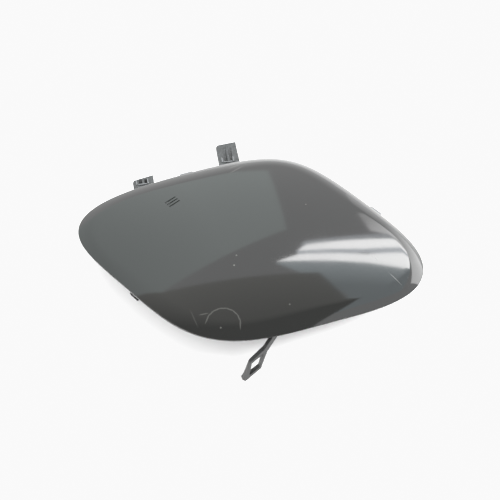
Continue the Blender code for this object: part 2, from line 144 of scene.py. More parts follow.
class CoverHookSettings(bpy.types.PropertyGroup):
    """Hook tongues."""

    width: length("Tongue width", 0.0085, "Width of a hook tongue")
    wall: length("Tongue wall", 0.0023, "Thickness of a hook tongue")
    corner: length("Tongue corner", 0.0016, "Radius of the rounded tip corner")
    left_x: length("Left tongue X", -0.0353, "Middle of the left tongue")
    left_tip: length("Left tongue tip", 0.0466, "Tip of the left tongue")
    left_slant: angle("Left tip slant", 12.0, "Slant of the left tip")
    right_x: length("Right tongue X", 0.0001, "Middle of the right tongue")
    right_tip: length("Right tongue tip", 0.0590, "Tip of the right tongue")
    right_slant: angle("Right tip slant", 5.0, "Slant of the right tip")
    groove_depth: length("Groove depth", 0.0011, "Depth of a groove at its deep end, next to the crush bar")
    groove_width: length("Groove width", 0.0013, "Width of each of the two grooves")
    groove_rib: length("Groove rib", 0.0009, "Width of the rib between the grooves")
    groove_tip: length("Groove tip", 0.0009, "From where the grooves run out to the tip")
    crush_height: length("Crush rib height", 0.0004, "How far the low ribs stand out of a tongue")
    crush_width: length("Crush rib width", 0.0005, "Width of a low rib")
    crush_length: length("Crush rib length", 0.0025, "Length of the two low ribs along a tongue")
    crush_gap: length("Crush bar gap", 0.0056, "From the skin's edge to the low bar across a tongue")
    crush_left: length("Left crush rib", -0.0027, "Place of the left low rib across a tongue")
    crush_right: length("Right crush rib", 0.0018, "Place of the right low rib across a tongue")
    gusset_wall: length("Gusset wall", 0.0012, "Thickness of the gussets at a tongue's root")
    gusset_length: length("Gusset length", 0.006, "How far the gussets reach in along the skin")


class CoverStrapSettings(bpy.types.PropertyGroup):
    """Tether strap with its diamond eye."""

    tip_x: length("Toe X", -0.0097, "Where the strap's toe meets the table")
    tip_y: length("Toe Y", -0.0458, "Where the strap's toe meets the table")
    face_way: angle("Face heading", -87.3, "Heading of the strap's near face")
    face_lift: angle("Face lift", 30.6, "How far the near face looks up")
    rise: angle("Rise", 51.3, "Slope of the strap along its leaf")
    depth: length("Depth", 0.00276, "Width of the leaf's side")
    wall: length("Wall", 0.0013, "Thickness of the leaf")
    toe_width: length("Toe width", 0.0013, "Width of the blunt toe")
    toe_length: length("Toe length", 0.0018, "Length of the blunt toe")
    eye_widest: length("Eye widest", 0.0070, "From the toe to where the eye is widest")
    eye_length: length("Eye length", 0.0138, "Length of the diamond eye")
    eye_left: length("Eye left", 0.0024, "Half width of the eye to the left")
    eye_right: length("Eye right", 0.0023, "Half width of the eye to the right")
    eye_bar: length("Eye bar", 0.0008, "Width across of the bars beside the hole")
    hole_start: length("Hole start", 0.0028, "From the toe to the hole")
    hole_end: length("Hole end", 0.0122, "From the toe to the hole's far corner")
    root_width: length("Root width", 0.005, "Width of the block that ties the strap to the skin")
    root_depth: length("Root depth", 0.0016, "Depth of that block")
    root_sink: number("Root sink", 0.12, "How far under the skin's middle it ends, as a share of the wall")


class CoverFinishSettings(bpy.types.PropertyGroup):
    """Colours of the finishes."""

    gloss: colour("Gloss face", "#111212", "Polished black face")
    satin: colour("Satin back", "#151616", "Plain black back")
    matte: colour("Matte tongues", "#343638", "Spark eroded black, greyed by handling")
    # Pale colour of the low crush ribs and the edge nibs: a painted highlight
    pale_highlight: colour("Painted highlight", "#5C5E60", "Pale: painted highlight on the low ribs and the edge nibs")
    scuff: colour("Scuffs", "#9A9A96", "Fine scratches and dust")


class CoverStageSettings(bpy.types.PropertyGroup):
    """Camera, floor and light."""

    camera_way: angle("Camera azimuth", -10.0, "Heading of the camera")
    camera_lift: angle("Camera elevation", 54.0, "How far the camera looks down")
    camera_distance: length("Camera distance", 0.333, "From the camera to the point it looks at")
    camera_aim: length("Aim height", 0.0155, "Height of the point that the camera looks at")
    lens: number("Lens", 65.0, "Focal length in millimetres")
    floor: colour("Floor", "#F2F2F2", "Pale table")


SETTINGS = {
    "cover_panel": CoverPanelSettings,
    "cover_back": CoverBackSettings,
    "cover_hooks": CoverHookSettings,
    "cover_strap": CoverStrapSettings,
    "cover_finish": CoverFinishSettings,
    "cover_stage": CoverStageSettings,
}

# Round the outline, in degrees of the slanted frame
LEG_TURNS = {"left": 175.8, "right": 6.0, "top": 80.0}
NIB_TURNS = {"right": 5.0, "top": 79.8}
LONG_RIB_SHARES = (-0.30, 0.30)
CROSS_RIB_SHARES = (-0.45, 0.0, 0.45)
# Small roundings of the hidden and the thin edges
FLANGE_ROUND = 0.00025
WINDOW_ROUND = 0.0003
RIB_ROUND = 0.0002
LEG_ROUND = 0.00018
NIB_ROUND = 0.00025
TONGUE_ROUND = 0.00015
LEAF_ROUND = 0.00012
ROOT_ROUND = 0.0003
# How far a nib starts inside the skin's edge
NIB_ROOT = 0.003


def panel_frame():
    panel = bpy.context.scene.cover_panel
    middle = Vector((panel.middle_x, panel.middle_y))
    long_way = Vector((math.cos(panel.long_way), math.sin(panel.long_way)))
    short_way = Vector((math.cos(panel.short_way), math.sin(panel.short_way)))
    return panel, middle, long_way, short_way


def outline_reach(turn):
    """How far the outline reaches in the slanted frame, in the direction turn."""
    panel = bpy.context.scene.cover_panel
    along, across = math.cos(turn), math.sin(turn)
    long_reach = panel.reach_right if along >= 0 else panel.reach_left
    short_reach = panel.reach_up if across >= 0 else panel.reach_down
    if across >= 0:
        square = panel.square_top if along >= 0 else panel.square_left
    else:
        square = panel.square_right if along >= 0 else panel.square_bottom
    return (abs(along / long_reach) ** square + abs(across / short_reach) ** square) ** (-1 / square)


def slanted(turn, reach):
    _, middle, long_way, short_way = panel_frame()
    return middle + reach * (math.cos(turn) * long_way + math.sin(turn) * short_way)


def outline_point(turn):
    return slanted(turn, outline_reach(turn))


def outward(turn):
    step = outline_point(turn + NUDGE) - outline_point(turn - NUDGE)
    return Vector((step.y, -step.x)).normalized()


def inset_point(turn, inset):
    return outline_point(turn) - inset * outward(turn)


def place_in_outline(point):
    """The turn of a plan point, and its share of the way from the middle to the outline."""
    _, middle, long_way, short_way = panel_frame()
    offset = point - middle
    area = long_way.x * short_way.y - long_way.y * short_way.x
    along = (offset.x * short_way.y - offset.y * short_way.x) / area
    across = (long_way.x * offset.y - long_way.y * offset.x) / area
    turn = math.atan2(across, along)
    return turn, math.hypot(along, across) / outline_reach(turn)


def face_height(point):
    """Height of the gloss face: a shallow crown whose edge rolls down."""
    panel, middle, _, _ = panel_frame()
    turn, share = place_in_outline(point)
    edge = outline_point(turn)
    into_roll = max(0.0, 1 - (1 - share) * (edge - middle).length / panel.roll_width)
    facing = math.atan2(edge.y, edge.x) - panel.roll_way
    roll = panel.roll_least + (panel.roll_most - panel.roll_least) * (0.5 + 0.5 * math.cos(facing))
    crown = point.x**2 / (2 * panel.crown_long) + point.y**2 / (2 * panel.crown_short)
    return panel.crown_height - crown - roll * into_roll**2


def face_normal(point):
    step_x, step_y = Vector((NUDGE, 0)), Vector((0, NUDGE))
    slope_x = (face_height(point + step_x) - face_height(point - step_x)) / (2 * NUDGE)
    slope_y = (face_height(point + step_y) - face_height(point - step_y)) / (2 * NUDGE)
    return Vector((-slope_x, -slope_y, 1)).normalized()


def inside_skin(point):
    return face_height(point) - bpy.context.scene.cover_panel.wall / 2


def catch_height(turn):
    """Height of a face that hooks behind the bumper's wall."""
    wall = bpy.context.scene.cover_panel.wall
    return face_height(outline_point(turn)) - wall - bpy.context.scene.cover_back.bumper_wall


def walk_to_inset(start, way, inset, samples=720):
    """The point where a walk from start along way comes this near to the outline."""
    outline = [outline_point(TURN * i / samples) for i in range(samples)]
    near, far = 0.0, 0.1
    for _ in range(24):
        half_way = (near + far) / 2
        point = start + half_way * way
        within = place_in_outline(point)[1] < 1
        if within and min((point - edge).length for edge in outline) > inset:
            near = half_way
        else:
            far = half_way
    return start + near * way


def crown_place():
    """Where the crown's highest point lies in the frame, from the CAD box's sides and its back."""
    hooks = bpy.context.scene.cover_hooks
    low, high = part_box(NODE)
    reaches = [outline_point(TURN * i / 720).x for i in range(720)]
    back = hooks.right_tip + hooks.width / 2 * math.tan(hooks.right_slant)
    return Vector(((low[0] + high[0] - min(reaches) - max(reaches)) / 2, high[1] - back, 0))


def placing_of(x_way, y_way, z_way, origin):
    placing = Matrix((x_way, y_way, z_way)).transposed().to_4x4()
    placing.translation = origin
    return placing


def edge_frame(turn, inset):
    """Placing on the outline: X points outwards, Y runs along the edge and Z is up."""
    point, way = inset_point(turn, inset), outward(turn)
    return placing_of((way.x, way.y, 0), (-way.y, way.x, 0), (0, 0, 1), (point.x, point.y, 0))


def object_of(name, form):
    bmesh.ops.recalc_face_normals(form, faces=form.faces)
    mesh = bpy.data.meshes.new(name)
    form.to_mesh(mesh)
    form.free()
    made = bpy.data.objects.new(name, mesh)
    bpy.context.scene.collection.objects.link(made)
    return made


def block(name, low, high, placing, rounding=0.0, segments=2):
    """A box between two corners of the placing's frame, with its edges rounded."""
    form = bmesh.new()
    bmesh.ops.create_cube(form, size=1)
    low, high = Vector(low), Vector(high)
    bmesh.ops.scale(form, vec=high - low, verts=form.verts)
    bmesh.ops.translate(form, vec=(low + high) / 2, verts=form.verts)
    if rounding:
        bmesh.ops.bevel(form, geom=form.edges[:], offset=rounding, segments=segments, profile=0.5,
                        affect="EDGES", material=-1, clamp_overlap=True)
    bmesh.ops.transform(form, matrix=placing, verts=form.verts)
    return object_of(name, form)


def plate(name, outline, thickness, placing, hole=()):
    """A flat outline in the placing's XY plane, extruded half its thickness to each side."""
    curve = bpy.data.curves.new(name, "CURVE")
    curve.dimensions = "2D"
    curve.fill_mode = "BOTH"
    curve.extrude = thickness / 2
    for loop in filter(None, (outline, hole)):
        spline = curve.splines.new("POLY")
        spline.points.add(len(loop) - 1)
        for spline_point, (x, y) in zip(spline.points, loop):
            spline_point.co = (x, y, 0, 1)
        spline.use_cyclic_u = True
    drawn = bpy.data.objects.new(name, curve)
    bpy.context.scene.collection.objects.link(drawn)
    bpy.context.view_layer.update()
    flat = bpy.data.meshes.new_from_object(drawn.evaluated_get(bpy.context.evaluated_depsgraph_get()))
    bpy.data.objects.remove(drawn, do_unlink=True)
    form = bmesh.new()
    form.from_mesh(flat)
    bpy.data.meshes.remove(flat)
    bmesh.ops.remove_doubles(form, verts=form.verts, dist=1e-6)
    bmesh.ops.dissolve_limit(form, angle_limit=math.radians(1), verts=form.verts, edges=form.edges)
    bmesh.ops.transform(form, matrix=placing, verts=form.verts)
    return object_of(name, form)


def boolean(target, other, operation, solver="EXACT"):
    modifier = target.modifiers.new(other.name, "BOOLEAN")
    modifier.operation = operation
    modifier.solver = solver
    modifier.object = other


def soften(target, width, segments=2, degrees=40):
    """Rounds the edges that are sharper than this."""
    modifier = target.modifiers.new("edge_round", "BEVEL")
    modifier.width = width
    modifier.segments = segments
    modifier.limit_method = "ANGLE"
    modifier.angle_limit = math.radians(degrees)
    modifier.use_clamp_overlap = True


def apply_modifiers(target, helpers=()):
    """Makes the modifiers' result the object's mesh and removes the helpers."""
    bpy.context.view_layer.update()
    whole = target.evaluated_get(bpy.context.evaluated_depsgraph_get())
    mesh = bpy.data.meshes.new_from_object(whole)
    target.modifiers.clear()
    old, target.data = target.data, mesh
    bpy.data.meshes.remove(old)
    for other in helpers:
        bpy.data.objects.remove(other, do_unlink=True)


def joined(name, objects):
    """One object of the meshes of these."""
    form = bmesh.new()
    for made in objects:
        form.from_mesh(made.data)
        bpy.data.objects.remove(made, do_unlink=True)
    return object_of(name, form)


def finish_piece(piece, materials, sharp=35, keep_flat=True):
    """Shades a piece, places it in the frame and makes it ride with the cover."""
    mesh = piece.data
    mesh.materials.clear()
    for material in materials:
        mesh.materials.append(material)
    for polygon in mesh.polygons:
        polygon.use_smooth = True
        polygon.material_index = 0
    mesh.set_sharp_from_angle(angle=math.radians(sharp))
    if keep_flat:
        flat = piece.modifiers.new("flat_faces", "WEIGHTED_NORMAL")
        flat.keep_sharp = True
        apply_modifiers(piece)
        mesh = piece.data
    mesh.transform(Matrix.Translation(crown_place()))
    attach(piece, "root")
    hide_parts(NODE)
    if not mesh.polygons:
        raise RuntimeError(f"{piece.name} has no faces")


def add_node(tree, kind, inputs=None, output=0, **settings):
    """Adds a node with its settings, its values and its links, and returns one of its outputs."""
    made = tree.nodes.new(kind)
    for name, value in settings.items():
        setattr(made, name, value)
    for name, value in (inputs or {}).items():
        if isinstance(value, bpy.types.NodeSocket):
            tree.links.new(value, made.inputs[name])
        else:
            made.inputs[name].default_value = value
    return made.outputs[output]


def per_mm(millimetres):
    """Texture scale that makes one feature of a pattern this big."""
    return 1000 / millimetres


def new_material(name, ior=1.52):
    """A material with ABS's refraction, its tree, its shader and the piece's own coordinates."""
    material = bpy.data.materials.new(name)
    material.use_nodes = True
    tree = material.node_tree
    shader = tree.nodes["Principled BSDF"]
    shader.inputs["IOR"].default_value = ior
    return material, tree, shader, add_node(tree, "ShaderNodeTexCoord", output="Object")


def finish_named(name, make):
    """The material of this name, made once."""
    return bpy.data.materials.get(name) or make(name)


# Marks on the face, in metres from under the crown's highest point: the ends of each line, half its width
# and its strength
SCRATCHES = (
    ((0.043, -0.012), (0.044, -0.014), 0.0002, 0.25),
    ((0.048, -0.021), (0.050, -0.024), 0.0002, 0.35),
    ((-0.001, 0.0385), (0.0025, 0.040), 0.0005, 0.15),
    ((-0.0005, 0.036), (0.003, 0.038), 0.0005, 0.15),
    ((-0.025, -0.026), (-0.024, -0.030), 0.0003, 0.08),
    ((-0.022, -0.027), (-0.020, -0.027), 0.0003, 0.18),
)
# A bow that something round has rubbed
BOW_MIDDLE = Vector((-0.015, -0.032))
BOW_RADIUS = 0.006
BOW_START = math.radians(160)
BOW_END = math.radians(-20)
BOW_STEPS = 8
BOW_WIDTH = 0.0003
BOW_STRENGTH = 0.2
# Place and strength of each speck
SPECKS = (((-0.006, -0.006), 0.35), ((-0.0075, -0.010), 0.55), ((-0.016, -0.033), 0.3),
          ((0.009, -0.0285), 0.25))
SPECK_SIZE = 0.0004


def worn_strokes():
    """Every straight stroke and speck on the face: start, end, width and strength."""
    for start, end, width, strength in SCRATCHES:
        yield Vector(start), Vector(end), width, strength
    turns = [BOW_START + i / BOW_STEPS * (BOW_END - BOW_START) for i in range(BOW_STEPS + 1)]
    bow = [BOW_MIDDLE + BOW_RADIUS * Vector((math.cos(turn), math.sin(turn))) for turn in turns]
    for start, end in zip(bow, bow[1:]):
        yield start, end, BOW_WIDTH, BOW_STRENGTH
    half = Vector((SPECK_SIZE / 2, 0))
    for speck, strength in SPECKS:
        yield Vector(speck) - half, Vector(speck) + half, SPECK_SIZE, strength


def gloss_face_plastic(name):
    """High gloss black ABS, moulded against polished steel: sharp reflections, slight haze, orange peel."""
    finish = bpy.context.scene.cover_finish
    material, tree, shader, coords = new_material(name)
    place = crown_place().xy
    # Dust, drawn at 0.3 mm where the real grains are finer, so that a few of them show
    dust = add_node(tree, "ShaderNodeTexVoronoi", {"Vector": coords, "Scale": per_mm(5.0)}, "Distance")
    tint = add_node(tree, "ShaderNodeTexVoronoi", {"Vector": coords, "Scale": per_mm(5.0)}, "Color")
    grain = add_node(tree, "ShaderNodeMapRange", {
        "Value": dust, "From Min": 0.018, "From Max": 0.05, "To Min": 0.6, "To Max": 0.0})
    red = add_node(tree, "ShaderNodeSeparateColor", {"Color": tint}, "Red")
    sparse = add_node(tree, "ShaderNodeMath", {0: red, 1: 0.7}, operation="GREATER_THAN")
    wear = add_node(tree, "ShaderNodeMath", {0: grain, 1: sparse}, operation="MULTIPLY")
    for start, end, width, strength in worn_strokes():
        middle, way = (start + end) / 2 + place, end - start
        # A stroke is an oval that runs out past its points, so that a bent line has no gaps
        local = add_node(tree, "ShaderNodeMapping", {
            "Vector": coords, "Location": (*middle, 0.0), "Rotation": (0, 0, math.atan2(way.y, way.x)),
            "Scale": (way.length, width, 1.0)}, vector_type="TEXTURE")
        oval = add_node(tree, "ShaderNodeTexGradient", {"Vector": local}, "Fac", gradient_type="SPHERICAL")
        mark = add_node(tree, "ShaderNodeMath", {0: oval, 1: 2.0 * strength}, operation="MULTIPLY")
        mark = add_node(tree, "ShaderNodeMath", {0: mark, 1: strength}, operation="MINIMUM")
        wear = add_node(tree, "ShaderNodeMath", {0: mark, 1: wear}, operation="MAXIMUM")
    wear = add_node(tree, "ShaderNodeMath", {0: wear, 1: 0.45}, operation="MULTIPLY")
    # The two colours and the result of a colour mix are its sockets 6, 7 and 2
    worn = add_node(tree, "ShaderNodeMix", {0: wear, 6: finish.gloss, 7: finish.scuff}, 2, data_type="RGBA")
    tree.links.new(worn, shader.inputs["Base Color"])
    haze = add_node(tree, "ShaderNodeTexNoise", {
        "Vector": coords, "Scale": per_mm(28.0), "Detail": 3.0}, "Fac")
    polish = add_node(tree, "ShaderNodeMapRange", {
        "Value": haze, "From Min": 0.35, "From Max": 0.65, "To Min": 0.052, "To Max": 0.072})
    rough = add_node(tree, "ShaderNodeMath", {0: wear, 1: 0.5, 2: polish}, operation="MULTIPLY_ADD")
    tree.links.new(rough, shader.inputs["Roughness"])
    # The rolled edge is polished less than the face: it mirrors less, so that it stays dark beside the table
    facing = add_node(tree, "ShaderNodeTexCoord", output="Normal")
    upward = add_node(tree, "ShaderNodeSeparateXYZ", {"Vector": facing}, "Z")
    shine = add_node(tree, "ShaderNodeMapRange", {
        "Value": upward, "From Min": 0.2, "From Max": 0.75, "To Min": 0.12, "To Max": 0.5})
    tree.links.new(shine, shader.inputs["Specular IOR Level"])
    peel = add_node(tree, "ShaderNodeTexNoise", {
        "Vector": coords, "Scale": per_mm(2.4), "Detail": 1.0}, "Fac")
    bump = add_node(tree, "ShaderNodeBump", {"Height": peel, "Strength": 0.25, "Distance": 0.000006})
    tree.links.new(bump, shader.inputs["Normal"])
    return material


def satin_back_plastic(name):
    """Black ABS, moulded against plain machined steel: soft satin with a faint grain."""
    material, tree, shader, coords = new_material(name)
    shader.inputs["Base Color"].default_value = bpy.context.scene.cover_finish.satin
    cloud = add_node(tree, "ShaderNodeTexNoise", {
        "Vector": coords, "Scale": per_mm(9.0), "Detail": 4.0}, "Fac")
    rough = add_node(tree, "ShaderNodeMapRange", {
        "Value": cloud, "From Min": 0.3, "From Max": 0.7, "To Min": 0.34, "To Max": 0.48})
    tree.links.new(rough, shader.inputs["Roughness"])
    grain = add_node(tree, "ShaderNodeTexNoise", {
        "Vector": coords, "Scale": per_mm(0.5), "Detail": 2.0}, "Fac")
    bump = add_node(tree, "ShaderNodeBump", {"Height": grain, "Strength": 0.3, "Distance": 0.00003})
    tree.links.new(bump, shader.inputs["Normal"])
    return material


def dull_leg_plastic(name):
    """Black ABS, moulded against coarsely ground steel: dull, so it stays dark beside the white table."""
    material, tree, shader, coords = new_material(name)
    shader.inputs["Base Color"].default_value = bpy.context.scene.cover_finish.satin
    shader.inputs["Specular IOR Level"].default_value = 0.15
    grain = add_node(tree, "ShaderNodeTexNoise", {
        "Vector": coords, "Scale": per_mm(0.4), "Detail": 2.0}, "Fac")
    rough = add_node(tree, "ShaderNodeMapRange", {
        "Value": grain, "From Min": 0.3, "From Max": 0.7, "To Min": 0.55, "To Max": 0.7})
    tree.links.new(rough, shader.inputs["Roughness"])
    return material


def matte_tongue_plastic(name):
    """Black ABS, moulded against spark eroded steel and greyed by handling: matte and mottled."""
    finish = bpy.context.scene.cover_finish
    material, tree, shader, coords = new_material(name)
    mottle = add_node(tree, "ShaderNodeTexNoise", {
        "Vector": coords, "Scale": per_mm(0.9), "Detail": 4.0, "Roughness": 0.6}, "Fac")
    shade = add_node(tree, "ShaderNodeMapRange", {"Value": mottle, "From Min": 0.35, "From Max": 0.65})
    mixed = add_node(tree, "ShaderNodeMix", {
        0: shade, 6: finish.satin, 7: finish.matte}, 2, data_type="RGBA")
    tree.links.new(mixed, shader.inputs["Base Color"])
    rough = add_node(tree, "ShaderNodeMapRange", {
        "Value": mottle, "From Min": 0.3, "From Max": 0.7, "To Min": 0.5, "To Max": 0.34})
    tree.links.new(rough, shader.inputs["Roughness"])
    bump = add_node(tree, "ShaderNodeBump", {"Height": mottle, "Strength": 0.6, "Distance": 0.00015})
    tree.links.new(bump, shader.inputs["Normal"])
    return material


def pale_highlight_plastic(name):
    """Black ABS painted pale and smooth: the pale colour is a painted highlight on the low crush ribs and
    the edge nibs.
    """
    material, tree, shader, coords = new_material(name)
    # The pale base colour is a painted highlight
    shader.inputs["Base Color"].default_value = bpy.context.scene.cover_finish.pale_highlight
    cloud = add_node(tree, "ShaderNodeTexNoise", {
        "Vector": coords, "Scale": per_mm(0.6), "Detail": 2.0}, "Fac")
    rough = add_node(tree, "ShaderNodeMapRange", {
        "Value": cloud, "From Min": 0.3, "From Max": 0.7, "To Min": 0.22, "To Max": 0.36})
    tree.links.new(rough, shader.inputs["Roughness"])
    return material


class CoverFaceOperator(bpy.types.Operator):
    """Model the crowned gloss skin with its push mark"""

    bl_idname = "cover.face"
    bl_label = "Gloss face"

    def execute(self, context):
        panel = context.scene.cover_panel
        form = bmesh.new()
        bmesh.ops.create_grid(form, x_segments=150, y_segments=130, size=1)
        for vertex in form.verts:
            turn = math.atan2(vertex.co.y, vertex.co.x)
            share = 1 - (1 - min(1.0, max(abs(vertex.co.x), abs(vertex.co.y)))) ** 1.25
            point = slanted(turn, share * outline_reach(turn))
            vertex.co = (point.x, point.y, face_height(point))
        skin = object_of("gloss_face", form)
        wall = skin.modifiers.new("skin_wall", "SOLIDIFY")
        wall.thickness = panel.wall
        wall.offset = -1
        wall.use_even_offset = True
        soften(skin, panel.edge_round, 5)
        grooves = joined("push_mark", [self.groove(panel, i - 1) for i in range(3)])
        boolean(skin, grooves, "DIFFERENCE", "MANIFOLD")
        apply_modifiers(skin, [grooves])
        gloss = finish_named("gloss_black_abs", gloss_face_plastic)
        satin = finish_named("satin_black_abs", satin_back_plastic)
        finish_piece(skin, [gloss, satin], keep_flat=False)
        for polygon in skin.data.polygons:
            if polygon.normal.z < -0.5:
                polygon.material_index = 1
        return {"FINISHED"}

    def groove(self, panel, step):
        """Cutter of one groove of the push mark."""
        way = Vector((math.cos(panel.mark_way), math.sin(panel.mark_way)))
        middle = Vector((panel.mark_x, panel.mark_y)) + step * panel.mark_pitch * Vector((-way.y, way.x))
        normal = face_normal(middle)
        side = normal.cross(Vector((way.x, way.y, 0))).normalized()
        placing = placing_of(side.cross(normal), side, normal, (middle.x, middle.y, face_height(middle)))
        half = Vector((panel.mark_length / 2, panel.mark_width / 2, panel.mark_depth))
        return block("groove", -half, half, placing, panel.mark_width / 4)


class CoverBackOperator(bpy.types.Operator):
    """Model the flange round the opening and the ribs under the skin"""

    bl_idname = "cover.back"
    bl_label = "Back flange and ribs"

    def execute(self, context):
        satin = finish_named("satin_black_abs", satin_back_plastic)
        finish_piece(self.flange(context), [satin])
        finish_piece(self.ribs(context), [satin])
        return {"FINISHED"}

    def flange(self, context):
        back, panel = context.scene.cover_back, context.scene.cover_panel
        form = bmesh.new()
        bmesh.ops.create_circle(form, segments=288, radius=1)
        for vertex in form.verts:
            turn = math.atan2(vertex.co.y, vertex.co.x)
            point = inset_point(turn, back.flange_inset + back.flange_wall / 2)
            vertex.co = (point.x, point.y, inside_skin(point))
        hung = bmesh.ops.extrude_edge_only(form, edges=form.edges[:])["geom"]
        for vertex in hung:
            if isinstance(vertex, bmesh.types.BMVert):
                vertex.co.z -= panel.wall / 2 + back.flange_depth
        flange = object_of("back_flange", form)
        wall = flange.modifiers.new("flange_wall", "SOLIDIFY")
        wall.thickness = back.flange_wall
        wall.offset = 0
        wall.use_even_offset = True
        soften(flange, FLANGE_ROUND)
        cutters = []
        for side, degrees in LEG_TURNS.items():
            turn = math.radians(degrees)
            half = back.leg_width / 2 + back.leg_slot
            under_skin = face_height(inset_point(turn, back.flange_inset)) - panel.wall
            cutter = block(f"{side}_window", (-2 * back.flange_wall, -half, 0),
                           (back.flange_wall, half, under_skin - back.flange_wall / 2),
                           edge_frame(turn, back.flange_inset), WINDOW_ROUND)
            boolean(flange, cutter, "DIFFERENCE")
            cutters.append(cutter)
        apply_modifiers(flange, cutters)
        return flange

    def ribs(self, context):
        _, middle, long_way, short_way = panel_frame()
        panel = context.scene.cover_panel
        made = []
        for share in LONG_RIB_SHARES:
            reach = panel.reach_up if share > 0 else panel.reach_down
            made.append(self.rib(context, middle + share * reach * short_way, long_way))
        for share in CROSS_RIB_SHARES:
            reach = panel.reach_right if share > 0 else panel.reach_left
            made.append(self.rib(context, middle + share * reach * long_way, short_way))
        return joined("back_ribs", made)

    def rib(self, context, start, way):
        """Upright rib that follows the skin from one side of the flange to the other."""
        back, panel = context.scene.cover_back, context.scene.cover_panel
        inset = back.flange_inset + back.flange_wall / 2
        ends = [walk_to_inset(start, sign * way, inset) for sign in (-1, 1)]
        span = (ends[1] - ends[0]).length
        form = bmesh.new()
        bmesh.ops.create_grid(form, x_segments=30, y_segments=1, size=1)
        for vertex in form.verts:
            point = ends[0] + (vertex.co.x + 1) / 2 * span * way
            lower = 0 if vertex.co.y > 0 else panel.wall / 2 + back.rib_depth
            vertex.co = (point.x, point.y, inside_skin(point) - lower)
        made = object_of("rib", form)
        wall = made.modifiers.new("rib_wall", "SOLIDIFY")
        wall.thickness = back.rib_wall
        wall.offset = 0
        soften(made, RIB_ROUND)
        apply_modifiers(made)
        return made


class CoverClipsOperator(bpy.types.Operator):
    """Model the snap legs and the edge nibs"""

    bl_idname = "cover.clips"
    bl_label = "Snap legs and nibs"

    def execute(self, context):
        legs = [self.leg(context, side, math.radians(turn)) for side, turn in LEG_TURNS.items()]
        finish_piece(joined("snap_legs", legs), [finish_named("dull_black_abs", dull_leg_plastic)])
        nibs = [self.nib(context, side, math.radians(turn)) for side, turn in NIB_TURNS.items()]
        # The nibs get the pale finish, a painted highlight
        finish_piece(joined("edge_nibs", nibs), [finish_named("pale_highlight_black_abs", pale_highlight_plastic)])
        return {"FINISHED"}

    def leg(self, context, side, turn):
        back = context.scene.cover_back
        placing = edge_frame(turn, back.flange_inset)
        catch = catch_height(turn)
        profile = [
            (-back.leg_wall, inside_skin(inset_point(turn, back.flange_inset + back.leg_wall))),
            (-back.leg_wall, back.leg_foot),
            (-back.leg_wall + back.leg_foot, 0),
            (0, 0),
            (0, catch - back.nose_height),
            (back.nose_reach, catch - back.leg_foot),
            (back.nose_reach, catch),
            (0, catch),
            (0, inside_skin(inset_point(turn, back.flange_inset))),
        ]
        upright = placing @ placing_of((1, 0, 0), (0, 0, 1), (0, -1, 0), (0, 0, 0))
        leg = plate(f"{side}_leg", profile, back.leg_width, upright)
        soften(leg, LEG_ROUND, degrees=20)
        apply_modifiers(leg)
        return leg

    def nib(self, context, side, turn):
        back = context.scene.cover_back
        height = face_height(outline_point(turn)) - back.nib_lower
        return block(f"{side}_nib", (-NIB_ROOT, -back.nib_width / 2, height - back.nib_wall),
                     (back.nib_reach, back.nib_width / 2, height), edge_frame(turn, 0), NIB_ROUND)


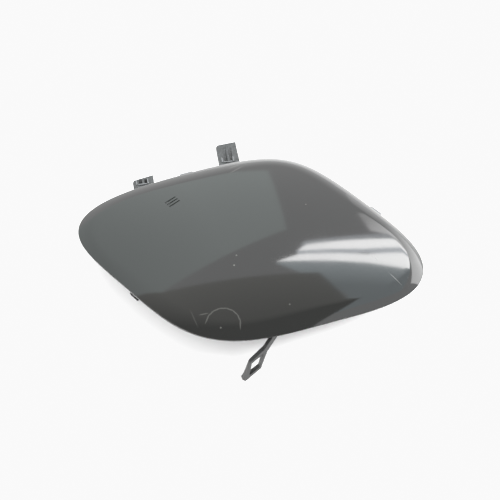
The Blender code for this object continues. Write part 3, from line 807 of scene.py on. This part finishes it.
class CoverHooksOperator(bpy.types.Operator):
    """Model the two hook tongues with their grooves, crush ribs and gussets"""

    bl_idname = "cover.hooks"
    bl_label = "Hook tongues"

    def execute(self, context):
        hooks = context.scene.cover_hooks
        matte = finish_named("matte_black_abs", matte_tongue_plastic)
        # The crush ribs get the pale finish, a painted highlight
        pale_highlight = finish_named("pale_highlight_black_abs", pale_highlight_plastic)
        for side, x, tip, slant in (("left", hooks.left_x, hooks.left_tip, hooks.left_slant),
                                    ("right", hooks.right_x, hooks.right_tip, hooks.right_slant)):
            top, bar_y = self.crush_place(context, x)
            finish_piece(self.tongue(context, side, x, tip, slant, top, bar_y), [matte])
            ribs = self.crush_ribs(hooks, Matrix.Translation((x, bar_y, top)))
            finish_piece(joined(f"{side}_crush_ribs", ribs), [pale_highlight])
        return {"FINISHED"}

    def crush_place(self, context, middle_x):
        """Height of a tongue's upper face, and where the low bar across it lies."""
        edge = walk_to_inset(Vector((middle_x, 0)), Vector((0, 1)), 0)
        return catch_height(place_in_outline(edge)[0]), edge.y + context.scene.cover_hooks.crush_gap

    def tongue(self, context, side, middle_x, tip_y, slant, top, bar_y):
        hooks, back = context.scene.cover_hooks, context.scene.cover_back
        up = Vector((0, 1))
        half, lean = hooks.width / 2, math.tan(slant)
        inset = back.flange_inset + back.flange_wall / 2
        roots = [walk_to_inset(Vector((middle_x + sign * half, 0)), up, inset) for sign in (-1, 1)]
        tip_left, tip_right = tip_y - half * lean, tip_y + half * lean
        corner = Vector((-half + hooks.corner, tip_left + hooks.corner * lean - hooks.corner))
        steps = [math.pi / 2 + slant + i / 8 * (math.pi / 2 - slant) for i in range(9)]
        rounded = [(corner.x + hooks.corner * math.cos(turn), corner.y + hooks.corner * math.sin(turn))
                   for turn in steps]
        outline = [(-half, roots[0].y), (half, roots[1].y), (half, tip_right)] + rounded
        tongue = plate(f"{side}_hook_tongue", outline, hooks.wall,
                       Matrix.Translation((middle_x, 0, top - hooks.wall / 2)))
        soften(tongue, TONGUE_ROUND)
        helpers = self.gussets(context, middle_x, roots, top)
        for other in helpers:
            boolean(tongue, other, "UNION")
        start = bar_y + hooks.crush_width
        depth = hooks.groove_depth
        end = max(tip_left - hooks.groove_tip, start + 2 * depth)
        groove = [(start, depth), (start, 0), (start + depth, -depth), (end, 0), (end, depth)]
        for sign in (-1, 1):
            x = middle_x + sign * (hooks.groove_rib + hooks.groove_width) / 2
            placing = placing_of((0, 1, 0), (0, 0, 1), (1, 0, 0), (x, 0, top))
            helpers.append(plate("groove", groove, hooks.groove_width, placing))
            boolean(tongue, helpers[-1], "DIFFERENCE")
        apply_modifiers(tongue, helpers)
        return tongue

    def crush_ribs(self, hooks, placing):
        """Two low ribs along the tongue and a low bar across it between them."""
        half, height = hooks.crush_width / 2, hooks.crush_height
        rounding = height / 3
        ribs = [block("crush_rib", (x - half, 0, -height), (x + half, hooks.crush_length, height),
                      placing, rounding)
                for x in (hooks.crush_left, hooks.crush_right)]
        ribs.append(block("crush_bar", (hooks.crush_left + 2 * half, -half, -height),
                          (hooks.crush_right - 2 * half, half, height), placing, rounding))
        return ribs

    def gussets(self, context, middle_x, roots, top):
        """Gussets that tie the tongue's root to the skin inside the flange."""
        hooks, back = context.scene.cover_hooks, context.scene.cover_back
        panel = context.scene.cover_panel
        made = []
        for sign, root in zip((-1, 1), roots):
            x = middle_x + sign * (hooks.width / 2 - hooks.gusset_wall)
            far = Vector((x, root.y - hooks.gusset_length))
            low = inside_skin(far) - panel.wall / 2 - back.rib_depth / 2
            side = [(root.y, inside_skin(root)), (far.y, inside_skin(far)), (far.y, low),
                    (root.y, top - hooks.wall / 2)]
            made.append(plate("gusset", side, hooks.gusset_wall,
                              placing_of((0, 1, 0), (0, 0, 1), (1, 0, 0), (x, 0, 0))))
        return made


class CoverStrapOperator(bpy.types.Operator):
    """Model the tether strap with its diamond eye"""

    bl_idname = "cover.strap"
    bl_label = "Tether strap"

    def execute(self, context):
        strap, back, panel = context.scene.cover_strap, context.scene.cover_back, context.scene.cover_panel
        face = Vector((math.cos(strap.face_way) * math.cos(strap.face_lift),
                       math.sin(strap.face_way) * math.cos(strap.face_lift), math.sin(strap.face_lift)))
        level = Vector((0, 0, 1)).cross(face).normalized()
        along = math.cos(strap.rise) * level + math.sin(strap.rise) * face.cross(level)
        across = face.cross(along)
        half = strap.wall / 2
        sole = [along * 0, across * strap.toe_width]
        sole += [corner - face * strap.depth for corner in sole]
        tip = Vector((strap.tip_x, strap.tip_y, -min(corner.z for corner in sole)))
        leaf_middle = tip - face * strap.depth / 2
        span = 0.0
        for _ in range(12):
            end = leaf_middle + span * along
            target = inside_skin(end.xy) - panel.wall * strap.root_sink
            span += (target - end.z) / along.z
        outline = [
            (0, 0),
            (strap.eye_widest, -strap.eye_right),
            (strap.eye_length, -half),
            (span, -half),
            (span, half),
            (strap.eye_length, half),
            (strap.eye_widest, strap.eye_left),
            (strap.toe_length, strap.toe_width),
            (0, strap.toe_width),
        ]
        hole = [
            (strap.hole_start, 0),
            (strap.eye_widest, -strap.eye_right + strap.eye_bar),
            (strap.hole_end, 0),
            (strap.eye_widest, strap.eye_left - strap.eye_bar),
        ]
        leaf = plate("leaf", outline, strap.depth, placing_of(along, across, face, leaf_middle), hole)
        soften(leaf, LEAF_ROUND, degrees=12)
        apply_modifiers(leaf)
        end = leaf_middle + along * span
        inset = back.flange_inset + back.flange_wall / 2
        inner_wall = walk_to_inset(Vector((end.x, 0)), Vector((0, -1)), inset)
        root_top = min(inside_skin(end.xy), inside_skin(inner_wall))
        half_root = strap.root_width / 2
        root_bottom = root_top - panel.wall / 2 - strap.root_depth
        low = (end.x - half_root, end.y - strap.depth / 2, root_bottom)
        high = (end.x + half_root, max(inner_wall.y, end.y + strap.depth / 2), root_top)
        root = block("root", low, high, Matrix.Identity(4), ROOT_ROUND)
        satin = finish_named("satin_black_abs", satin_back_plastic)
        finish_piece(joined("tether_strap", [leaf, root]), [satin])
        return {"FINISHED"}


# Softboxes, fill cards and a flag about a metre over the face, which only gloss sees: corners in plan,
# height, two plan points with the brightness there, and colour
CARDS = {
    "left_softbox": (((-1.5, -0.3), (0.3, 0.8), (0.4, 1.8), (-4.0, 2.6)), 1.02,
                     (((-0.7, 0.8), 2.2), ((0.0, 0.9), 3.1)), "#F7FFFD"),
    "back_strip": (((0.3, 0.59), (0.6, 0.61), (1.2, 0.75), (1.2, 0.82), (0.35, 0.64)), 1.0,
                   (((0.0, 0.5), 16.5), ((1.0, 0.5), 16.5)), "#FFFFFF"),
    "front_strip": (((0.2, 0.52), (0.6, 0.5), (1.2, 0.43), (1.2, 0.7), (0.6, 0.57), (0.3, 0.565)), 1.0,
                    (((0.0, 0.5), 16.5), ((1.0, 0.5), 16.5)), "#FFFFFF"),
    "strip_back_plate": (((0.3, 0.55), (1.2, 0.65), (1.2, 0.78), (0.3, 0.6)), 1.01,
                         (((0.0, 0.5), 7.5), ((1.0, 0.5), 7.5)), "#F2F8FF"),
    "strip_glow": (((0.3, 0.58), (0.7, 0.6), (1.2, 0.75), (1.2, 0.9), (0.35, 0.68)), 1.02,
                   (((0.5, 0.55), 8.5), ((0.5, 0.7), 4.6)), "#F5FAFF"),
    "right_fill": (((0.2, 0.53), (0.45, 0.3), (0.5, -0.5), (1.5, -0.5), (1.3, 0.55)), 1.03,
                   (((0.3, 0.35), 2.5), ((0.3, 0.5), 4.5)), "#F0FBFF"),
    "end_fill": (((0.7, 0.8), (1.3, 0.7), (1.3, 1.1), (0.7, 1.0)), 1.015,
                 (((0.7, 0.9), 4.5), ((0.8, 0.8), 8.0)), "#FFFFFF"),
    "front_flag": (((-0.9, 0.2), (-0.25, 0.44), (0.35, 0.42), (0.5, 0.1), (0.5, -1.0), (-0.9, -1.0)), 0.98,
                   (((0.0, 0.0), 0.65), ((0.0, 0.45), 1.65)), "#FFFDF7"),
}
# Upright cards, which only gloss sees: their corners, and two plan points with the brightness there
WALLS = {
    # What the rolled edge at the right reflects
    "right_wall": (((1.2, -0.15, 0.05), (1.2, 1.8, 0.05), (1.2, 1.8, 1.2), (1.2, 0.7, 0.95),
                    (1.2, -0.15, 0.6)),
                   (((1.2, 0.5), 7.5), ((1.2, 1.3), 3.0))),
    # What the strap's near face reflects
    "front_wall": (((-0.8, -1.3, 0.02), (0.7, -1.3, 0.02), (0.7, -1.3, 0.6), (-0.8, -1.3, 0.6)),
                   (((0.0, 0.0), 5.0), ((1.0, 0.0), 5.0))),
    # For the lower left edge of the skin
    "left_window": (((-2.0, -1.6, 0.8), (-2.0, 1.0, 0.8), (-2.0, 1.0, 3.4), (-2.0, -1.6, 3.4)),
                    (((0.0, 0.0), 16.0), ((1.0, 0.0), 16.0))),
}
STUDIO_GLOSS_STRENGTH = 2.3
STUDIO_DIFFUSE_STRENGTH = 2.15
KEY_PLACE = Vector((0.66, -0.12, 0.68))
KEY_ENERGY = 13.0
KEY_SIZE = 0.45
# How bright overexposed paper comes out: the camera rolls its whites off
WHITE_LEVEL = 0.95
ROLL_OFF_START = 0.82


class CoverStageOperator(bpy.types.Operator):
    """Set the pale table, the soft light and the camera"""

    bl_idname = "cover.stage"
    bl_label = "Stage"

    def execute(self, context):
        stage = context.scene.cover_stage
        scene = context.scene
        place = crown_place()
        self.response(scene)
        self.world(scene)
        form = bmesh.new()
        bmesh.ops.create_grid(form, x_segments=1, y_segments=1, size=2)
        # A hair lower than the feet, so that what rests on it shows from under the table too
        bmesh.ops.translate(form, vec=(0, 0, -0.0001), verts=form.verts)
        table = object_of("table", form)
        paper = bpy.data.materials.new("white_paper")
        paper.use_nodes = True
        shader = paper.node_tree.nodes["Principled BSDF"]
        shader.inputs["Base Color"].default_value = stage.floor
        shader.inputs["Roughness"].default_value = 0.9
        table.data.materials.append(paper)
        for name, (corners, height, fade, tint) in CARDS.items():
            self.card(name, [(x + place.x, y + place.y, height) for x, y in corners], fade, tint)
        for name, (corners, fade) in WALLS.items():
            self.card(name, corners, fade, "#FFFFFF")
        key = bpy.data.lights.new("key_softbox", "AREA")
        key.shape = "DISK"
        key.size = KEY_SIZE
        key.energy = KEY_ENERGY
        lamp = bpy.data.objects.new("key_softbox", key)
        lamp.location = place + KEY_PLACE
        lamp.rotation_euler = lamp.location.to_track_quat("Z", "Y").to_euler()
        lamp.visible_glossy = False
        scene.collection.objects.link(lamp)
        back = Vector((math.sin(stage.camera_way) * math.cos(stage.camera_lift),
                       -math.cos(stage.camera_way) * math.cos(stage.camera_lift),
                       math.sin(stage.camera_lift)))
        camera = bpy.data.objects.new("camera", bpy.data.cameras.new("camera"))
        camera.data.lens = stage.lens
        camera.data.clip_start = 0.01
        camera.location = place + Vector((0, 0, stage.camera_aim)) + back * stage.camera_distance
        camera.rotation_euler = back.to_track_quat("Z", "Y").to_euler()
        scene.collection.objects.link(camera)
        scene.camera = camera
        return {"FINISHED"}

    def response(self, scene):
        """The camera's response: true tones, with the whites rolled off."""
        scene.view_settings.view_transform = "Standard"
        scene.view_settings.use_curve_mapping = True
        mapping = scene.view_settings.curve_mapping
        mapping.extend = "HORIZONTAL"
        tones = mapping.curves[3]
        tones.points[-1].location = (1.0, WHITE_LEVEL)
        tones.points.new(ROLL_OFF_START, ROLL_OFF_START)
        for point in tones.points:
            point.handle_type = "VECTOR"
        mapping.update()

    def world(self, scene):
        """White all round, as bright as an overexposed studio is, and softer in what gloss reflects."""
        world = bpy.data.worlds.new("studio")
        world.use_nodes = True
        tree = world.node_tree
        diffuse = add_node(tree, "ShaderNodeLightPath", output="Is Diffuse Ray")
        strength = add_node(tree, "ShaderNodeMapRange", {
            "Value": diffuse, "To Min": STUDIO_GLOSS_STRENGTH, "To Max": STUDIO_DIFFUSE_STRENGTH})
        background = tree.nodes["Background"]
        background.inputs["Color"].default_value = linear("#FFFFFF")
        tree.links.new(strength, background.inputs["Strength"])
        scene.world = world

    def card(self, name, corners, fade, tint):
        """A glowing card whose brightness fades from one plan point to another."""
        form = bmesh.new()
        form.faces.new([form.verts.new(corner) for corner in corners])
        card = object_of(name, form)
        glow = bpy.data.materials.new(name)
        glow.use_nodes = True
        tree = glow.node_tree
        tree.nodes.remove(tree.nodes["Principled BSDF"])
        (start, first), (end, last) = fade
        way = Vector(end) - Vector(start)
        way /= way.length_squared
        coords = add_node(tree, "ShaderNodeTexCoord", output="Object")
        along = add_node(tree, "ShaderNodeVectorMath", {
            0: coords, 1: (*way, 0.0)}, "Value", operation="DOT_PRODUCT")
        before = Vector(start).dot(way)
        strength = add_node(tree, "ShaderNodeMapRange", {
            "Value": along, "From Min": before, "From Max": before + 1, "To Min": first, "To Max": last})
        emission = add_node(tree, "ShaderNodeEmission", {"Color": linear(tint), "Strength": strength})
        tree.links.new(emission, tree.nodes["Material Output"].inputs["Surface"])
        card.data.materials.append(glow)
        card.visible_camera = False
        card.visible_diffuse = False
        card.visible_shadow = False


class CoverPanel(bpy.types.Panel):
    """Buttons and sizes of the tow hook cover"""

    bl_idname = "VIEW3D_PT_tow_cover"
    bl_label = "Tow hook cover"
    bl_space_type = "VIEW_3D"
    bl_region_type = "UI"
    bl_category = "Tow cover"

    def draw(self, context):
        for operator in OPERATORS:
            self.layout.operator(operator.bl_idname)
        for attribute, group in SETTINGS.items():
            box = self.layout.box()
            box.label(text=group.__doc__.rstrip("."))
            for name in group.__annotations__:
                box.prop(getattr(context.scene, attribute), name)


OPERATORS = (CoverFaceOperator, CoverBackOperator, CoverClipsOperator, CoverHooksOperator,
             CoverStrapOperator, CoverStageOperator)
CLASSES = (*SETTINGS.values(), *OPERATORS, CoverPanel)


def register():
    for made in CLASSES:
        bpy.utils.register_class(made)
    for attribute, group in SETTINGS.items():
        setattr(bpy.types.Scene, attribute, bpy.props.PointerProperty(type=group))


def unregister():
    for attribute in SETTINGS:
        delattr(bpy.types.Scene, attribute)
    for made in reversed(CLASSES):
        bpy.utils.unregister_class(made)


def main():
    register()
    bpy.ops.cover.face()
    bpy.ops.cover.back()
    bpy.ops.cover.clips()
    bpy.ops.cover.hooks()
    bpy.ops.cover.strap()
    bpy.ops.cover.stage()


if __name__ == "__main__":
    main()
